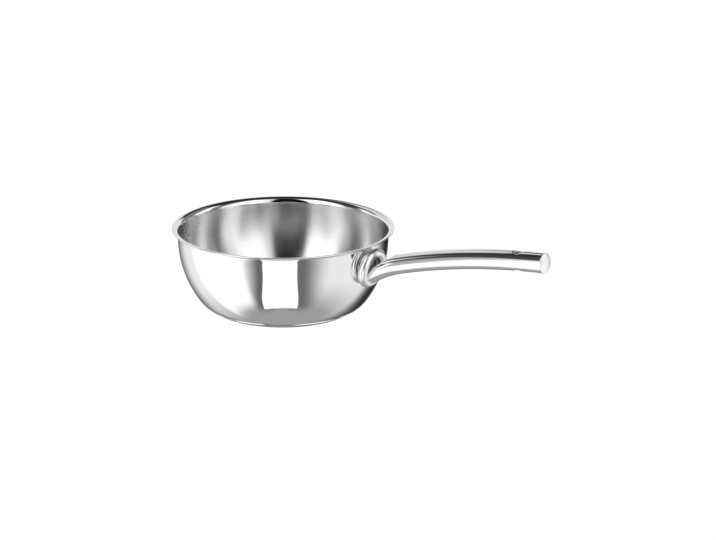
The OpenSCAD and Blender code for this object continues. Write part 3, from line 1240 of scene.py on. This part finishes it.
@dataclass
class Studio:
    """The camera, the pale floor and the panels that light the pan."""

    azimuth: float = radians(36)
    elevation: float = radians(17.463)
    roll: float = radians(0.287)
    aim_h: float = 82.2 * MM
    shift_right: float = 71.71 * MM
    shift_up: float = -42.48 * MM
    distance: float = 2.0
    focal_px: float = 2082.84
    picture_px: int = 716
    sensor: float = 36.0
    far_clip: float = 100.0
    floor_size: float = 6.0
    floor_drop: float = 0.1 * MM
    floor_grey: float = 0.9
    floor_glow: float = 1.17
    floor_glow_share: float = 0.8
    base_level: float = 0.95
    panels: tuple[Panel, ...] = (
        # Below the horizon, as the outside of the wall mirrors the table around the pan
        Panel("table behind on the left", 160, 198, 0.22, 20, 36, top=-8),
        Panel("table behind on the right", 142, 160, 0.12, 24, 14, top=-8),
        Panel("deep corner on the right", 150, 160, 0.03, 10, 10, top=-8),
        Panel("shade of the pan", -190, 190, 0.4, 5, 5, top=-70, fade_high=38),
        Panel("left sweep", -107, -48, 1.3, 14, 12, bottom=-48, top=-8, fade_low=28),
        Panel("foot of the pan", -190, 190, 0.39, 5, 5, top=-70, fade_high=12),
        Panel("gap left of the front card", -23.6, -19, 0.15, 23, 2, bottom=-62, top=-8, fade_low=14,
              flare_left=0.0085),
        Panel("gap right of the front card", 14, 22, 0.17, 2, 36, bottom=-62, top=-8, fade_low=14,
              flare_right=0.006),
        Panel("front card", -20.3, 16.5, 1.3, 0.6, 0.6, bottom=-67, top=-8, fade_low=2,
              flare_left=0.0085, flare_right=0.006),
        # Above the horizon
        Panel("ceiling", -190, 190, 0.16, 5, 5, bottom=76, fade_low=8),
        Panel("light wall behind", 150, 215, 0.85, 10, 12, bottom=-2, top=40),
        Panel("dark wall behind", 85, 275, 0.03, 8, 8, bottom=28, fade_low=8),
        Panel("light corner behind", 195, 229, 0.75, 6, 5, bottom=18, top=46),
        Panel("left softbox", -64, -32, 1.6, 8, 5, bottom=-8, top=66),
        Panel("left flag", -97, -76, 0.06, 5, 6, bottom=24, top=70, fade_low=16),
        Panel("left slot", -92, -80, 0.3, 6, 6, bottom=-8, top=18),
        Panel("left card", -114, -100, 0.95, 8, 6, bottom=-8, top=26, fade_high=12),
        Panel("left back flag", -126, -118, 0.1, 5, 6, bottom=24, top=44, fade_low=14),
        Panel("left horizon", -80, -71.5, 0.5, 3, 2, bottom=-11, top=12, fade_low=3, fade_high=5),
        Panel("front dark", -24, 12.5, 0.005, 4, 8, bottom=-8, top=80),
        Panel("front middle", -8, 2, 0.12, 8, 5, bottom=-8, top=14, fade_high=12),
        Panel("right softbox", 32, 60, 1.45, 10, 6, bottom=-8, top=66),
        Panel("right slot", 79, 88, 0.2, 6, 6, bottom=-8, top=60),
        Panel("right card", 96, 110, 1.1, 5, 8, bottom=-26, top=44),
        Panel("right back flag", 122, 146, 0.22, 10, 8, bottom=-4, top=44),
    )

    def __post_init__(self) -> None:
        """Works out the camera's axes from its azimuth, elevation and roll."""
        a, e, r = self.azimuth, self.elevation, self.roll
        right = np.array([cos(a), sin(a), 0])
        up = np.array([-sin(a) * sin(e), cos(a) * sin(e), cos(e)])
        self.back = np.array([sin(a) * cos(e), -cos(a) * cos(e), sin(e)])
        self.right = right * cos(r) + up * sin(r)
        self.up = up * cos(r) - right * sin(r)

    def place_camera(self) -> None:
        """Puts the camera at the photograph's viewing angle."""
        lens = bpy.data.cameras.new("camera")
        lens.sensor_width = self.sensor
        lens.lens = self.focal_px * self.sensor / self.picture_px
        lens.clip_end = self.far_clip
        camera = put("camera", lens)
        place = (np.array([0, 0, self.aim_h]) + self.shift_right * self.right
                 + self.shift_up * self.up + self.distance * self.back)
        camera.matrix_world = Matrix([
            [self.right[i], self.up[i], self.back[i], place[i]] for i in range(3)] + [[0, 0, 0, 1]])
        bpy.context.scene.camera = camera

    def lay_floor(self) -> None:
        """Lays the pale floor, which keeps a faint shadow of the pan.

        To the camera it is mostly a plain white, and the rest is lit by the studio. It isn't
        mirrored in the steel: the panels below the horizon stand for the table there.
        """
        half = self.floor_size / 2
        mesh = bpy.data.meshes.new("floor")
        mesh.from_pydata([(x, y, -self.floor_drop) for x, y in (
            (-half, -half), (half, -half), (half, half), (-half, half))], [], [(0, 1, 2, 3)])
        floor = put("floor", mesh)
        floor.visible_glossy = False
        material = bpy.data.materials.new("white floor")
        wires = fresh_wiring(material)
        matt = wires.add("BsdfDiffuse", {"Color": (*[self.floor_grey] * 3, 1)}).outputs[0]
        white = wires.add("Emission", {"Strength": self.floor_glow}).outputs[0]
        camera_ray = wires.add("LightPath").outputs["Is Camera Ray"]
        seen = wires.math("MULTIPLY", camera_ray, self.floor_glow_share)
        mixed = wires.add("MixShader", {0: seen, 1: matt, 2: white}).outputs[0]
        wires.add("OutputMaterial", {"Surface": mixed})
        mesh.materials.append(material)

    def hang_panels(self) -> None:
        """Makes the world: a white room with softboxes and dark flags about the pan.

        A direction's azimuth is the arc tangent of its parts along the camera's right and
        towards the camera. Each panel in turn replaces the level where its mask is 1. The camera
        and clear pieces see plain white, and the steel mirrors the panels.
        """
        world = bpy.data.worlds.new("studio")
        bpy.context.scene.world = world
        wires = fresh_wiring(world)
        group = panel_mask_group()
        inputs = {"Vector": wires.add("TexCoord").outputs["Generated"], "Angle": -self.azimuth}
        way = wires.add("VectorRotate", inputs, rotation_type="Z_AXIS").outputs[0]
        parts = wires.add("SeparateXYZ", {0: way}).outputs
        ahead = wires.math("MULTIPLY", parts["Y"], -1.0)
        azimuth = wires.math("DEGREES", wires.math("ARCTAN2", parts["X"], ahead))
        elevation = wires.math("DEGREES", wires.math("ARCSINE", parts["Z"]))
        level: object = self.base_level
        for panel in self.panels:
            inputs = {"Azimuth": azimuth, "Elevation": elevation, **panel.inputs()}
            node = wires.add("Group", inputs, node_tree=group, label=panel.name)
            level = wires.mix(node.outputs["Mask"], level, panel.level)
        path = wires.add("LightPath").outputs
        plain = wires.math("MAXIMUM", path["Is Camera Ray"], path["Is Transmission Ray"])
        shown = wires.mix(plain, level, 1.0)
        glow = wires.add("Background", {"Color": (1, 1, 1, 1), "Strength": shown})
        wires.add("OutputWorld", {"Surface": glow.outputs[0]})

    def set_up(self) -> None:
        """Makes the camera, the floor and the world, and sets the plain view transform."""
        bpy.context.scene.view_settings.view_transform = "Standard"
        self.place_camera()
        self.lay_floor()
        self.hang_panels()
        LOG.info("studio: camera, floor and %d panels", len(self.panels))


POLISHED = SteelFinish(
    "polished steel", (0.86, 0.86, 0.865), 0.045, marks=1500, mark_gloss=0.02, mark_height=0.00004 * MM,
    wave_height=0.004 * MM, smudge_gloss=0.05, shade=0.03)
SATIN = SteelFinish(
    "satin steel inside", (0.84, 0.84, 0.835), 0.22, marks=2600, stretch=9, mark_gloss=0.08,
    mark_height=0.0004 * MM, smudge_gloss=0.04, shade=0.06, anisotropy=0.9)
CAP_RIM = SteelFinish(
    "polished cap rim", (0.84, 0.84, 0.845), 0.07, marks=1800, mark_gloss=0.03, mark_height=0.00006 * MM,
    smudge_gloss=0.05, shade=0.04)
LATHED = SteelFinish(
    "turned underside", (0.74, 0.74, 0.74), 0.28, marks=1400, mark_gloss=0.12, mark_height=0.004 * MM,
    smudge_gloss=0.06, shade=0.12)
RING_SATIN = SteelFinish(
    "satin-polished ring", (0.92, 0.92, 0.92), 0.30, marks=1800, mark_gloss=0.03, mark_height=0.0001 * MM,
    wave_height=0.002 * MM, smudge_gloss=0.05, shade=0.03)
TUBE_POLISH = SteelFinish(
    "polished tube", (0.86, 0.86, 0.865), 0.09, lay=Lay.ALONG, marks=2400, stretch=30, mark_gloss=0.03,
    mark_height=0.00008 * MM, wave_height=0.002 * MM, smudge_gloss=0.05, shade=0.03)
PRESSED = SteelFinish(
    "pressed steel", (0.62, 0.62, 0.62), 0.32, marks=2000, mark_gloss=0.08, mark_height=0.001 * MM,
    smudge_gloss=0.1, shade=0.1)
END_SATIN = SteelFinish(
    "satin end", (0.94, 0.94, 0.94), 0.28, marks=2600, mark_gloss=0.06, mark_height=0.0006 * MM,
    smudge_gloss=0.05, shade=0.05)
CORE_METAL = SteelFinish(
    "plain aluminium", (0.77, 0.78, 0.80), 0.45, marks=1200, mark_gloss=0.1, mark_height=0.002 * MM,
    smudge_gloss=0.05, shade=0.08)


def main() -> None:
    """Builds the studio and every piece of the pan, in order."""
    logging.basicConfig(level=logging.INFO, format="%(name)s: %(message)s")
    Studio().set_up()
    shop = Workshop()
    bowl = Bowl(pan_h=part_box("bowl")[1].z)
    ring = Ring(bowl)
    line = HandleLine(bowl)
    hole = HangingHole(line)
    tip = Seat(tuple(line.grip_point(line.tip_rise)), line.tip_rise)
    bowl.build(shop, POLISHED, SATIN)
    BaseCap(bowl).build(shop, CAP_RIM, LATHED)
    ring.build(shop, replace(RING_SATIN, seat=ring.seat))
    Saddle(ring).build(shop, replace(PRESSED, seat=ring.seat))
    Tube(line, ring, hole).build(shop, TUBE_POLISH)
    Sleeve(hole).build(shop, replace(PRESSED, name="drawn steel", seat=hole.seat))
    EndCap(line, tip).build(shop, replace(END_SATIN, seat=tip))
    shop.dress("core_disc", CORE_METAL)


if __name__ == "__main__":
    main()
